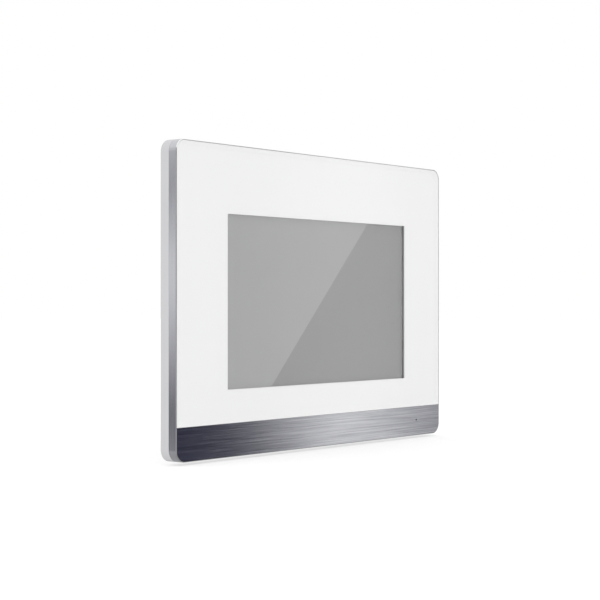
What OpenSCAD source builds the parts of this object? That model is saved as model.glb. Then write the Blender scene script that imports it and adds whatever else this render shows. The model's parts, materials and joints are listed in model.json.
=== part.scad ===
// Wall-hung video intercom monitor with a seven-inch screen.
// +X is the viewer's right, +Z is up, and +Y points into the wall.
// The origin is on the wall, at the middle of the wall bracket's back face.

/* [Body] */
// Width of the monitor
body_w = 228; // [226:0.5:232]
// Height of the monitor
body_h = 153; // [152:0.5:158]
// Depth from the wall to the front of the glass
body_d = 21.6; // [21.6:0.1:24]
// Radius of the four outer corners
corner_r = 6; // [4:0.5:8]
// Depth of the brushed metal band round the sides
metal_d = 4.8; // [4.6:0.1:5]
// Depth of the plastic band behind the metal one
band_d = 5.3; // [5:0.1:5.5]
// Width of the raised box on the back
box_w = 195; // [194:1:198]
// Height of the raised box on the back
box_h = 121; // [120:1:124]

/* [Front] */
// Height of the metal strip under the glass
chin_h = 16.5; // [15:0.1:18]
// Width of the metal rim that shows round the glass
rim_w = 0.45; // [0.4:0.05:0.8]
// Gap between the glass and the metal
glass_gap = 0.12; // [0.1:0.01:0.2]
// Thickness of the cover glass
glass_t = 1.1; // [0.8:0.1:1.1]
// Width of the picture area
screen_w = 154.08; // [150:0.01:154.08]
// Height of the picture area
screen_h = 85.92; // [84:0.01:85.92]
// Width of the clear window in the printed border
window_w = 154.7; // [154.1:0.1:156]
// Height of the clear window in the printed border
window_h = 86.1; // [86:0.1:87]
// How far the picture's middle is right of the body's middle
screen_x = 2; // [1:0.2:2.6]
// How far the picture's middle is above the body's middle
screen_z = -0.5; // [-1:0.5:1]

/* [Bracket] */
// Width of the wall bracket
bracket_w = 120; // [116:1:120]
// Height of the wall bracket
bracket_h = 92; // [88:1:92]
// Thickness of the bracket's sheet steel
bracket_t = 1.2; // [1:0.1:1.2]
// Height of the upturned finger on each hook
finger_h = 6; // [5:0.5:6]
// Left-to-right distance between the corner screw holes
hole_dx = 104; // [100:1:104]
// Up-and-down distance between the corner screw holes
hole_dz = 76; // [72:1:76]
// Radius of the corner screw holes
hole_r = 2.25; // [2:0.05:2.5]
// Distance between the two slots for a flush wall box
flush_box_dx = 60; // [56:1:62]

/* [Speaker] */
// Outer radius of the loudspeaker
speaker_r = 14; // [12:0.5:14]

/* [Hidden] */
$fn = 64;
e = 0.5;                          // how far a cutter runs past a face

// Layers along Y, from the front glass towards the wall
y_front = -body_d;
y_ink = y_front + glass_t;        // back face of the glass
ink_t = 0.1;
y_stack = y_ink + ink_t;          // back face of the white border printed on the glass
tape_t = 0.2;
y_plate = y_stack + tape_t;       // front face of the metal plate behind the glass
plate_t = 1.2;
y_plate_back = y_plate + plate_t;
touch_t = 0.2;
gasket_t = 1.3;
y_lcd = y_stack + touch_t + gasket_t;
lip_t = 0.3;
cell_t = 1.2;
backlight_t = 2;
y_cell = y_lcd + lip_t;
y_light = y_cell + cell_t;
y_chassis = y_light + backlight_t;
chassis_t = 1.2;
y_chassis_back = y_chassis + chassis_t;
standoff_t = 1.6;
y_pcb = y_chassis_back + standoff_t;
pcb_t = 1.6;
y_pcb_back = y_pcb + pcb_t;
y_band = y_front + metal_d;       // seam between metal band and plastic band
y_flange = y_band + band_d;       // back face of the plastic band
y_box = -2;                       // back face of the raised box
y_pocket = -4.2;                  // floor of the bracket's pocket

// Walls of the plastic cover and the metal frame
wall = 2;
flange_t = 1.8;
metal_wall = 1.4;
box_r = 8;

// Glass outline
glass_edge = rim_w + glass_gap;
glass_w = body_w - 2 * glass_edge;
glass_bottom = -body_h / 2 + chin_h + glass_gap;
glass_top = body_h / 2 - glass_edge;

// Display stack
lcd_w = 165;
lcd_h = 100;
lcd_window_w = lcd_w + 3;
lcd_window_h = lcd_h + 3;
border = 0.8;                     // how far the steel lip stays outside the picture
panel_h = 97;
flex_x = screen_x - 10;
flex_w = 36;
flex_t = 0.2;
tail_x = 62;                      // middle of the touch sensor's tail

// Pocket for the bracket, longer downwards so that the monitor can be lifted
slide_up = finger_h + 1.2;
pocket_gap = 2;
pocket_w = bracket_w + 2 * pocket_gap;
pocket_top = bracket_h / 2 + pocket_gap;
pocket_bottom = -bracket_h / 2 - slide_up - 1.4;
pocket_h = pocket_top - pocket_bottom;
pocket_z = (pocket_top + pocket_bottom) / 2;

// Hooks
hook_w = 8;
hook_leg_t = 1.4;
hook_x = 47;
hook_tops = [18, -30];            // height of the top face of each hook's leg
y_finger = y_pocket - wall - 0.2; // back face of the finger, just inside the cover
hook_slot_h = finger_h + 2.8;

// Pads on the back
bumper_x = 72;
bumper_z = 51;
bumper_r = 4;

// Fasteners
cover_screws_at = [[-88, -52], [88, -52], [-88, 52], [88, 52], [-30, 54.6], [30, 54.6]];
chassis_screws_at = [[-90, -30], [-90, 30], [90, -30], [90, 30],
                     [-45, 54.5], [45, 54.5], [-45, -55.5], [45, -55.5]];
pcb_screws_at = [[-54, 38], [10, 38], [74, 38], [-54, -50], [50, -46]];
cover_screw_r = 1.45;
cover_head_r = 2.6;
cover_head_t = 1.9;
well_r = 2.9;
well_floor_y = -6.9;
boss_r = 3.5;
small_screw_r = 1.2;
small_head_r = 2.3;
small_head_t = 1.4;
recess_r = 1.3;                   // radius of the cross recess in a screw head
recess_t = 0.9;

// Circuit board and what is on it; places are [x, z] of the middle
pcb_x0 = -60;
pcb_x1 = 80;
pcb_z0 = -57.8;
pcb_z1 = 44;
socket_z = 20.5;
socket_h = 6.2;
socket_t = 7;
socket_widths = [12.4, 12.4, 12.4, 7.4];
socket_pins = [4, 4, 4, 2];
socket_gap = 2;
sockets_w = sum_widths(3) + 3 * socket_gap;
socket_wall = 0.95;
pin_pitch = 2.5;
pin_w = 0.64;
card_x = 24;
card_w = 11;
card_l = 15;
card_t = 0.8;
card_gap = 0.35;
y_card = y_pcb_back + 0.5;        // front face of the memory card
card_bottom = -box_h / 2 + 0.2;
switch_x = 44;
knob_travel = 2;
reset_x = -22;
reset_z = 6;
processor_at = [-2, -12];
cell_at = [-36, 34];
cell_r = 6.25;

// Loudspeaker and microphone
speaker_x = -79.75;
y_speaker = y_box - wall - 0.8;   // face of the loudspeaker's rim
ring_gap = 0.3;
ring_t = 0.9;
ring_d = 2.4;
magnet_r = 8;
magnet_t = 2.4;
basket_d = 4;
lead_r = 0.35;
mic_lead_r = 0.3;
mic_x = 89.9;
mic_z = -67.6;
mic_r = 3;
vent_x = 79.75;

// ---- Shared shapes --------------------------------------------------------

// A flat shape drawn in X and Z, from y0 to y1
module slab(y0, y1) {
    translate([0, y1, 0]) rotate([90, 0, 0]) linear_extrude(y1 - y0) children();
}

// A round post along Y
module post(x, z, r, y0, y1) {
    translate([x, y1, z]) rotate([90, 0, 0]) cylinder(r = r, h = y1 - y0);
}

// A box given by its middle in X and Z, its size, and its two ends in Y
module block(x, z, w, h, y0, y1) {
    translate([x - w / 2, y0, z - h / 2]) cube([w, y1 - y0, h]);
}

// A rectangle with round corners
module round_rect(w, h, r) {
    square([w - 2 * r, h], center = true);
    square([w, h - 2 * r], center = true);
    for (sx = [-1, 1], sz = [-1, 1])
        translate([sx * (w / 2 - r), sz * (h / 2 - r)]) circle(r);
}

// A slot with round ends, l long from end to end along X
module slot_2d(l, w) {
    square([l - w, w], center = true);
    for (s = [-1, 1]) translate([s * (l - w) / 2, 0]) circle(w / 2);
}

// The glass outline grown by extra: round at the top, square at the bottom
module glass_2d(extra) {
    w = glass_w + 2 * extra;
    z0 = glass_bottom - extra;
    z1 = glass_top + extra;
    r = corner_r - glass_edge + extra;
    translate([0, (z0 + z1) / 2]) round_rect(w, z1 - z0, r);
    translate([-w / 2, z0]) square([w, 2 * r]);
}

// A screw along Y with its head towards +Y; y is the face under the head
module screw(x, z, y, shank_r, length, head_r, head_t) {
    post(x, z, shank_r, y - length, y + 0.1);
    difference() {
        post(x, z, head_r, y, y + head_t);
        for (a = [0, 90])
            translate([x, 0, z]) rotate([0, a, 0])
                block(0, 0, 2 * recess_r, 0.6, y + head_t - recess_t, y + head_t + e);
    }
}

// A round tube swept along points that never run along Y
function unit(v) = v / norm(v);
function tangent(p, i) =
    unit(p[min(i + 1, len(p) - 1)] - p[max(i - 1, 0)]);
function ring(p, i, r, sides) =
    let (t = tangent(p, i), side = unit(cross(t, [0, 1, 0])), up = cross(side, t))
    [for (k = [0:sides - 1])
        let (a = 360 * k / sides) p[i] + r * (cos(a) * side + sin(a) * up)];
module tube(p, r, sides = 8) {
    n = len(p);
    points = [for (i = [0:n - 1]) each ring(p, i, r, sides)];
    walls = [for (i = [0:n - 2], k = [0:sides - 1])
        [i * sides + k, i * sides + (k + 1) % sides,
         (i + 1) * sides + (k + 1) % sides, (i + 1) * sides + k]];
    near = [for (k = [0:sides - 1]) sides - 1 - k];
    far = [for (k = [0:sides - 1]) (n - 1) * sides + k];
    polyhedron(points, concat(walls, [near, far]));
}

// Points on a curve that passes smoothly through the given ones
function curve_point(a, b, c, d, t) =
    0.5 * ((2 * b) + (c - a) * t + (2 * a - 5 * b + 4 * c - d) * t * t
           + (3 * b - a - 3 * c + d) * t * t * t);
function curve(p, steps) =
    [for (i = [0:len(p) - 2], k = [0:steps - 1])
        curve_point(p[max(i - 1, 0)], p[i], p[i + 1], p[min(i + 2, len(p) - 1)], k / steps),
     p[len(p) - 1]];

// ---- Wall bracket ---------------------------------------------------------

module hook(x, top) {
    block(x, top - hook_leg_t / 2, hook_w, hook_leg_t, y_finger - bracket_t, -bracket_t);
    block(x, top + finger_h / 2, hook_w, finger_h, y_finger - bracket_t, y_finger);
}

module wall_bracket() color("silver") {
    cable_w = 76;
    cable_h = 26;
    cable_z = 21;
    slot_l = 9;
    slot_w = 4.4;
    flange_d = 2;
    flange_h = bracket_h - 12;
    hook_hole_h = 8;
    difference() {
        slab(-bracket_t, 0) round_rect(bracket_w, bracket_h, 4);
        for (s = [-1, 1]) {
            slab(-bracket_t - e, e) translate([0, s * cable_z]) round_rect(cable_w, cable_h, 3);
            slab(-bracket_t - e, e) translate([s * flush_box_dx / 2, 0]) slot_2d(slot_l, slot_w);
            for (t = [-1, 1]) post(s * hole_dx / 2, t * hole_dz / 2, hole_r, -bracket_t - e, e);
            // opening that each hook was bent out of
            for (top = hook_tops)
                block(s * hook_x, top + hook_hole_h / 2, hook_w + 1, hook_hole_h, -bracket_t - e, e);
        }
    }
    for (s = [-1, 1]) {
        block(s * (bracket_w - bracket_t) / 2, 0, bracket_t, flange_h,
              -bracket_t - flange_d, -bracket_t);
        for (top = hook_tops) hook(s * hook_x, top);
    }
}

// ---- Rear cover -----------------------------------------------------------

module cover_outside() {
    slab(y_band, y_flange) round_rect(body_w, body_h, corner_r);
    slab(y_flange - e, y_box) round_rect(box_w, box_h, box_r);
}

module cover_hollow() {
    slab(y_band - e, y_flange - flange_t)
        round_rect(body_w - 2 * wall, body_h - 2 * wall, corner_r - wall);
    slab(y_flange - flange_t - e, y_box - wall)
        round_rect(box_w - 2 * wall, box_h - 2 * wall, box_r - wall);
}

// Material kept inside the hollow: the pocket, the screw wells and the speaker's ring
module cover_inside() {
    slab(y_pocket - wall, y_box) translate([0, pocket_z])
        round_rect(pocket_w + 2 * wall, pocket_h + 2 * wall, 4);
    for (p = cover_screws_at) post(p[0], p[1], well_r + wall, well_floor_y - wall, y_box);
    difference() {
        post(speaker_x, 0, speaker_r + ring_gap + ring_t, y_speaker - ring_d, y_box);
        post(speaker_x, 0, speaker_r + ring_gap, y_speaker - ring_d - e, y_box - wall);
    }
}

// The lip that locates the cover inside the metal frame
module cover_lip() {
    lip_gap = 0.1;
    lip_wall = 1;
    lip_w = body_w - 2 * (metal_wall + lip_gap);
    lip_h = body_h - 2 * (metal_wall + lip_gap);
    r = corner_r - metal_wall;
    slab(y_band - 1.5, y_band + 1) difference() {
        round_rect(lip_w, lip_h, r);
        round_rect(lip_w - 2 * lip_wall, lip_h - 2 * lip_wall, r - lip_wall);
    }
}

module hook_slots() {
    for (s = [-1, 1], top = hook_tops)
        block(s * hook_x, top - hook_slot_h / 2, hook_w + 2, hook_slot_h,
              y_pocket - wall - e, y_pocket + e);
}

module speaker_grille() {
    grille_r = speaker_r - 3;
    pitch = 3.2;
    for (i = [-3:3])
        slab(y_box - wall - e, y_box + e) translate([speaker_x + i * pitch, 0]) rotate(90)
            slot_2d(2 * sqrt(pow(grille_r, 2) - pow(i * pitch, 2)), 1.4);
}

module vents() {
    first_z = 24;
    pitch = 4;
    for (s = [-1, 1], i = [0:5])
        slab(y_box - wall - e, y_box + e)
            translate([s * vent_x, first_z + i * pitch]) slot_2d(22, 1.6);
}

module rear_cover() color("gainsboro") {
    difference() {
        cover_outside();
        difference() {
            cover_hollow();
            cover_inside();
        }
        slab(y_pocket, y_box + e) translate([0, pocket_z]) round_rect(pocket_w, pocket_h, 3);
        for (p = cover_screws_at) {
            post(p[0], p[1], well_r, well_floor_y, y_box + e);
            post(p[0], p[1], cover_screw_r + 0.2, well_floor_y - wall - e, well_floor_y + e);
        }
        hook_slots();
        speaker_grille();
        vents();
        // window for the plugs
        block(0, socket_z, sockets_w + 8, socket_h + 1.8, y_pocket - wall - e, y_pocket + e);
        // slot for the memory card, window for the switch, pinhole for reset
        block(card_x, -box_h / 2 + wall / 2, card_w + 1, wall + 2 * e,
              y_card - card_gap, y_card + card_t + card_gap);
        block(switch_x, -box_h / 2 + wall / 2, knob_travel + 2.6, wall + 2 * e,
              y_pcb_back + 0.6, y_pcb_back + 3);
        post(reset_x, reset_z, 0.8, y_pocket - wall - e, y_pocket + e);
    }
    cover_lip();
}

module rear_bumpers() color("dimgray")
    for (sx = [-1, 1], sz = [-1, 1]) post(sx * bumper_x, sz * bumper_z, bumper_r, y_box, 0);

module rating_label() color("white")
    slab(y_box, y_box + 0.15) translate([vent_x, -5]) round_rect(24, 34, 1);

module cover_screws() color("gray")
    for (p = cover_screws_at)
        screw(p[0], p[1], well_floor_y, cover_screw_r, 6.4, cover_head_r, cover_head_t);

// ---- Metal frame and glass ------------------------------------------------

module bezel_frame() color("#8f9096") {
    post_r = 2.5;
    difference() {
        slab(y_front, y_band) round_rect(body_w, body_h, corner_r);
        slab(y_front - e, y_plate) glass_2d(glass_gap);
        slab(y_plate_back, y_band + e)
            round_rect(body_w - 2 * metal_wall, body_h - 2 * metal_wall, corner_r - metal_wall);
        block(screen_x, screen_z, lcd_window_w, lcd_window_h, y_plate - e, y_plate_back + e);
        post(mic_x, mic_z, 0.5, y_front - e, y_plate_back + e);
        post(mic_x, mic_z, 1.5, y_front + 1.6, y_plate_back + e);
    }
    for (p = chassis_screws_at) difference() {
        post(p[0], p[1], post_r, y_plate_back, y_chassis);
        post(p[0], p[1], small_screw_r + 0.05, y_plate_back + 0.6, y_chassis + e);
    }
}

module front_glass() color("#efefef") slab(y_front, y_ink) glass_2d(0);

module ink_border() color("white")
    slab(y_ink, y_stack) difference() {
        glass_2d(0);
        translate([screen_x, screen_z]) square([window_w, window_h], center = true);
    }

module glass_tape() color("white")
    slab(y_stack, y_plate) difference() {
        glass_2d(-1.5);
        translate([screen_x, screen_z]) square([lcd_window_w + 2, lcd_window_h + 2], center = true);
    }

// ---- Display --------------------------------------------------------------

module touch_sensor() color("lightcyan") {
    sensor_h = 98;
    tail_z = screen_z - lcd_h / 2 - 0.75;
    block(screen_x, screen_z, 164, sensor_h, y_stack, y_stack + touch_t);
    // the tail runs down past the display, back beside it and up to the circuit board
    block(tail_x, (tail_z + screen_z - sensor_h / 2) / 2, 8,
          screen_z - sensor_h / 2 - tail_z + 0.2, y_stack, y_stack + touch_t);
    block(tail_x, tail_z, 8, 0.2, y_stack, y_pcb - 0.6);
    block(tail_x, tail_z + 3.9, 8, 8, y_pcb - 0.8, y_pcb - 0.6);
}

module lcd_gasket() color("#a8a8a8")
    slab(y_stack + touch_t, y_lcd) translate([screen_x, screen_z]) difference() {
        square([162, 96], center = true);
        square([screen_w + 2, screen_h + 2], center = true);
    }

module lcd_bezel() color("darkgray")
    difference() {
        block(screen_x, screen_z, lcd_w, lcd_h, y_lcd, y_chassis - 0.2);
        block(screen_x, screen_z, lcd_w - 2 * lip_t, lcd_h - 2 * lip_t, y_cell, y_chassis);
        block(screen_x, screen_z, screen_w + 2 * border, screen_h + 2 * border,
              y_lcd - e, y_cell + e);
        block(flex_x, screen_z - lcd_h / 2, flex_w + 1, 2, y_light - 0.5, y_light + 0.2);
    }

module lcd_panel() color("#a8a8a8") block(screen_x, screen_z, 162, panel_h, y_cell, y_light);

module lcd_backlight() color("whitesmoke") block(screen_x, screen_z, 163.6, 98.6, y_light, y_chassis);

module lcd_flex() color("darkorange") {
    z_out = screen_z - lcd_h / 2 - 0.85;
    z_cell = screen_z - panel_h / 2;
    y_out = y_light - 0.3;
    block(flex_x, (z_cell + z_out) / 2, flex_w, z_cell - z_out, y_out, y_out + flex_t);
    block(flex_x, z_out, flex_w, flex_t, y_out, y_pcb - 0.6);
    block(flex_x, z_out + 4.9, flex_w, 9.6, y_pcb - 0.6 - flex_t, y_pcb - 0.6);
}

// ---- Chassis --------------------------------------------------------------

module inner_chassis() color("#404246") {
    chassis_w = 212;
    z0 = -60;
    z1 = 70;
    rib_t = 1.4;
    rib_d = 1.5;
    difference() {
        union() {
            slab(y_chassis, y_chassis_back) translate([0, (z0 + z1) / 2])
                round_rect(chassis_w, z1 - z0, 4);
            for (p = cover_screws_at)
                post(p[0], p[1], boss_r, y_chassis_back - e, well_floor_y - wall);
            for (p = pcb_screws_at) post(p[0], p[1], 3, y_chassis_back - e, y_pcb);
            for (s = [-1, 1]) {
                block(screen_x + s * (lcd_w / 2 + 0.3 + rib_t / 2), screen_z, rib_t, 60,
                      y_chassis - rib_d, y_chassis + e);
                block(screen_x, screen_z + s * (lcd_h / 2 + 1 + rib_t / 2) - (s < 0 ? 1 : 0), 50,
                      rib_t, y_chassis - rib_d, y_chassis + e);
            }
        }
        for (p = cover_screws_at)
            post(p[0], p[1], cover_screw_r + 0.05, y_chassis_back, well_floor_y - wall + e);
        for (p = pcb_screws_at)
            post(p[0], p[1], small_screw_r + 0.05, y_chassis_back - 0.8, y_pcb + e);
        for (p = chassis_screws_at)
            post(p[0], p[1], small_screw_r + 0.3, y_chassis - e, y_chassis_back + e);
        // way through for the display's flex and the touch sensor's tail
        for (way = [[flex_x, flex_w + 4], [tail_x, 12]])
            block(way[0], screen_z - lcd_h / 2 - 0.6, way[1], 1.6,
                  y_chassis - rib_d - e, y_chassis_back + e);
    }
}

module chassis_screws() color("gray")
    for (p = chassis_screws_at)
        screw(p[0], p[1], y_chassis_back, small_screw_r, 3.6, small_head_r, small_head_t);

// ---- Circuit board --------------------------------------------------------

module main_pcb() color("#1f5b3a")
    difference() {
        translate([pcb_x0, y_pcb, pcb_z0]) cube([pcb_x1 - pcb_x0, pcb_t, pcb_z1 - pcb_z0]);
        for (p = pcb_screws_at) post(p[0], p[1], small_screw_r + 0.3, y_pcb - e, y_pcb_back + e);
    }

module pcb_screws() color("gray")
    for (p = pcb_screws_at)
        screw(p[0], p[1], y_pcb_back, small_screw_r, 3.8, small_head_r, small_head_t);

module chip(x, z, w, h, t) block(x, z, w, h, y_pcb_back, y_pcb_back + t);

// A square dimple in the top of a part of thickness t
module chip_dimple(x, z, t) block(x, z, 4.6, 4.6, y_pcb_back + t - 0.4, y_pcb_back + t + e);

module video_processor() color("#202020") chip(processor_at[0], processor_at[1], 17, 17, 1.2);

module memory_chips() color("#2a2a2a") {
    chip(-32, -12, 9, 13, 1);
    chip(-32, -30, 9, 13, 1);
    chip(36, -34, 6, 8, 1.6);
}

module shield_can() color("lightgray") {
    can_w = 30;
    can_h = 28;
    can_t = 3;
    sheet = 0.3;
    difference() {
        chip(processor_at[0], processor_at[1], can_w, can_h, can_t);
        block(processor_at[0], processor_at[1], can_w - 2 * sheet, can_h - 2 * sheet,
              y_pcb_back - e, y_pcb_back + can_t - sheet);
    }
}

module capacitors() color("#3a3f55")
    for (z = [-32, -20, -8]) {
        post(72, z, 4, y_pcb_back + 0.8, y_pcb_back + 6);
        chip(72, z, 8.3, 8.3, 0.8);
    }

module inductors() color("#505050")
    for (z = [6, 18]) difference() {
        chip(70, z, 8, 8, 4);
        chip_dimple(70, z, 4);
    }

module crystals() color("silver") for (x = [24, 38]) chip(x, -12, 5, 3.2, 1);

module flex_connectors() color("ivory") {
    block(flex_x, -40, flex_w + 2, 4.4, y_pcb - 1.2, y_pcb);
    block(tail_x, -42.4, 10, 3, y_pcb - 1.2, y_pcb);
}

// Left end of socket i
function socket_x0(i) =
    -sockets_w / 2 + (i > 0 ? sum_widths(i - 1) + i * socket_gap : 0);
function sum_widths(i) = i == 0 ? socket_widths[0] : socket_widths[i] + sum_widths(i - 1);

module door_sockets() color("ivory")
    for (i = [0:3]) {
        x = socket_x0(i) + socket_widths[i] / 2;
        difference() {
            chip(x, socket_z, socket_widths[i], socket_h, socket_t);
            block(x, socket_z, socket_widths[i] - 2 * socket_wall, socket_h - 2 * socket_wall,
                  y_pcb_back + 1.5, y_pcb_back + socket_t + e);
            // key slots in the upper wall
            for (s = [-1, 1])
                block(x + s * (socket_widths[i] / 2 - 2.6), socket_z + socket_h / 2, 1.2, 2.4,
                      y_pcb_back + 3, y_pcb_back + socket_t + e);
        }
    }

module socket_pins() color("gold")
    for (i = [0:3], k = [0:socket_pins[i] - 1])
        block(socket_x0(i) + socket_widths[i] / 2 + (k - (socket_pins[i] - 1) / 2) * pin_pitch,
              socket_z, pin_w, pin_w, y_pcb_back + 1.5, y_pcb_back + 5.6);

module card_socket() color("lightgray") {
    socket_w = 14;
    socket_l = 17;
    z0 = -box_h / 2 + wall + 0.3;
    difference() {
        block(card_x, z0 + socket_l / 2, socket_w, socket_l, y_pcb_back, y_card + card_t + 0.4);
        block(card_x, z0 + socket_l / 2 - 1.2, card_w + 0.4, socket_l,
              y_card - 0.15, y_card + card_t + 0.15);
    }
}

module memory_card() color("#303030")
    difference() {
        translate([card_x - card_w / 2, y_card, card_bottom]) cube([card_w, card_t, card_l]);
        // notch in the leading corner
        block(card_x + card_w / 2, card_bottom + card_l - 3, 2.6, 6.4,
              y_card - e, y_card + card_t + e);
    }

module power_switch() color("silver")
    difference() {
        block(switch_x, -box_h / 2 + wall + 2.2, 9, 3.8, y_pcb_back, y_pcb_back + 3.6);
        block(switch_x, -box_h / 2 + wall + 1, 4.4, 3, y_pcb_back + 0.9, y_pcb_back + 2.7);
    }

module power_knob() color("black")
    translate([switch_x - knob_travel / 2, 0, -box_h / 2]) {
        block(0, 1.5, 2, 4.8, y_pcb_back + 1.1, y_pcb_back + 2.5);
        for (s = [-1, 0, 1]) block(s * 0.7, -1.1, 0.3, 0.5, y_pcb_back + 1.1, y_pcb_back + 2.5);
    }

module reset_switch() color("silver")
    difference() {
        chip(reset_x, reset_z, 6, 6, 3);
        post(reset_x, reset_z, 1.6, y_pcb_back + 1.6, y_pcb_back + 3 + e);
    }

module reset_plunger() color("black")
    post(reset_x, reset_z, 1.5, y_pcb_back + 2, y_pcb_back + 3.8);

module cell_holder() color("#202020")
    difference() {
        chip(cell_at[0], cell_at[1], 16, 14, 3.2);
        post(cell_at[0], cell_at[1], cell_r + 0.15, y_pcb_back + 0.8, y_pcb_back + 3.2 + e);
    }

module coin_cell() color("silver")
    post(cell_at[0], cell_at[1], cell_r, y_pcb_back + 0.8, y_pcb_back + 2.8);

// ---- Sound ----------------------------------------------------------------

// Places a profile of radius and depth round the speaker's axis; depth runs to the front
module round_speaker() {
    translate([speaker_x, y_speaker, 0]) rotate([90, 0, 0]) rotate_extrude() children();
}

module speaker_frame() color("gray")
    round_speaker() polygon([
        [speaker_r, 0], [speaker_r, 1], [magnet_r + 1, basket_d], [magnet_r - 3, basket_d],
        [magnet_r - 3, basket_d - 0.6], [magnet_r + 0.6, basket_d - 0.6],
        [speaker_r - 1.6, 0.7], [speaker_r - 1.6, 0]
    ]);

module speaker_cone() color("#26272b")
    round_speaker() polygon([
        [speaker_r - 1.8, 0.3], [speaker_r - 3.4, 0.1], [4, 1.9], [0, 1.2],
        [0, 1.5], [4, 2.3], [speaker_r - 3.4, 0.5], [speaker_r - 1.8, 0.6]
    ]);

module speaker_magnet() color("#555555")
    post(speaker_x, 0, magnet_r, y_speaker - basket_d - magnet_t, y_speaker - basket_d);

module speaker_gasket() color("#303030")
    difference() {
        post(speaker_x, 0, speaker_r, y_speaker, y_box - wall);
        post(speaker_x, 0, speaker_r - 1.6, y_speaker - e, y_box - wall + e);
    }

speaker_lead_path = [[-68.6, -7.9, 0], [-66.4, -8.6, 0.6], [-63, -9.4, 2], [-60, -10.2, 2.4],
                     [-57.4, -10.6, 2]];

module speaker_leads() color("firebrick")
    for (dz = [0, 1.8])
        tube(curve([for (p = speaker_lead_path) p + [0, 0, dz]], 4), lead_r);

module microphone() color("silver")
    difference() {
        post(mic_x, mic_z, mic_r, y_plate_back + 0.5, y_plate_back + 2.6);
        post(mic_x, mic_z, 0.8, y_plate_back + 0.4, y_plate_back + 0.9);
    }

module mic_boot() color("#303030")
    difference() {
        post(mic_x, mic_z, mic_r + 1.4, y_plate_back, y_plate_back + 2.6);
        post(mic_x, mic_z, mic_r, y_plate_back + 0.5, y_plate_back + 2.6 + e);
        post(mic_x, mic_z, 1, y_plate_back - e, y_plate_back + 1);
    }

mic_lead_path = [[90, -16.1, -68], [88.6, -15.8, -65.6], [86.4, -14.6, -62.6],
                 [84, -13.75, -60], [81, -13.6, -57.6], [78, -13, -55.4]];

module mic_leads() color("royalblue")
    for (dx = [0, 1.4])
        tube(curve([for (p = mic_lead_path) p + [dx, 0, 0]], 4), mic_lead_r);

// ---- Every node -----------------------------------------------------------

wall_bracket();
rear_cover();
rear_bumpers();
rating_label();
cover_screws();
bezel_frame();
front_glass();
ink_border();
glass_tape();
touch_sensor();
lcd_gasket();
lcd_bezel();
lcd_panel();
lcd_backlight();
lcd_flex();
inner_chassis();
chassis_screws();
main_pcb();
pcb_screws();
video_processor();
memory_chips();
shield_can();
capacitors();
inductors();
crystals();
flex_connectors();
door_sockets();
socket_pins();
card_socket();
memory_card();
power_switch();
power_knob();
reset_switch();
reset_plunger();
cell_holder();
coin_cell();
speaker_frame();
speaker_cone();
speaker_magnet();
speaker_gasket();
speaker_leads();
microphone();
mic_boot();
mic_leads();
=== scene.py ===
import json
import math

import bmesh
import bpy
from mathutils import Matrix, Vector
from mathutils.geometry import delaunay_2d_cdt

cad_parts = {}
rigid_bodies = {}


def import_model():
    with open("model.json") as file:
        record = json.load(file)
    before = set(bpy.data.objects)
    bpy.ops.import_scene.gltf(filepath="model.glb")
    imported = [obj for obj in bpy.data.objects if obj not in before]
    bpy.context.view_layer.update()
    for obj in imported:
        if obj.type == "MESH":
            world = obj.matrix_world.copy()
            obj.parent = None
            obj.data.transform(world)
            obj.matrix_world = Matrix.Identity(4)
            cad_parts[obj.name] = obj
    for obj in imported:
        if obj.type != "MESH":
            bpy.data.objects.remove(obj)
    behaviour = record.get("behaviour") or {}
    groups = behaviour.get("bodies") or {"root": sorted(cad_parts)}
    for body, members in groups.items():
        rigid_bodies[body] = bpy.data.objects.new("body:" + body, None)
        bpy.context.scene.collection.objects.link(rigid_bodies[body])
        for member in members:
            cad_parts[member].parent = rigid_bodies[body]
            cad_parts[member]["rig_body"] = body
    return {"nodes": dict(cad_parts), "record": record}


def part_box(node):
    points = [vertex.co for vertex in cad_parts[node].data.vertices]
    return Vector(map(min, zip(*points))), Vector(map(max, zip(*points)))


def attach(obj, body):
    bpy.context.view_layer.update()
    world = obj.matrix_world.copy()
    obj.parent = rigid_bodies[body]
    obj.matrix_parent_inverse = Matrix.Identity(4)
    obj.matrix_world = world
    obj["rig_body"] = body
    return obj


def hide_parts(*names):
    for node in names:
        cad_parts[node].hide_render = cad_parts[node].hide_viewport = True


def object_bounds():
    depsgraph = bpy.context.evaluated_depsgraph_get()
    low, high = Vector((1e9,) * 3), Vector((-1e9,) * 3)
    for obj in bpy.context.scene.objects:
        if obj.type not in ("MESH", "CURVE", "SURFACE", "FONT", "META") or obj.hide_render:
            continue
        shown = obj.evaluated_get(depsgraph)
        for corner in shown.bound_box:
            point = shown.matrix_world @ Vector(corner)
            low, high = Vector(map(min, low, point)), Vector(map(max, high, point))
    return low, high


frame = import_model()
CAD_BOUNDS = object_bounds()
NODES = frame["nodes"]
SLOT_OF = {s["node"]: s["material_slot"] for s in frame["record"]["subparts"]}
MM = 0.001

# ---- Sizes, in millimetres -----------------------------------------------------
# Places come from the frame. The sizes below are what a node's box can't say.


def box_mm(node):
    low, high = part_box(node)
    return low / MM, high / MM


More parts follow.
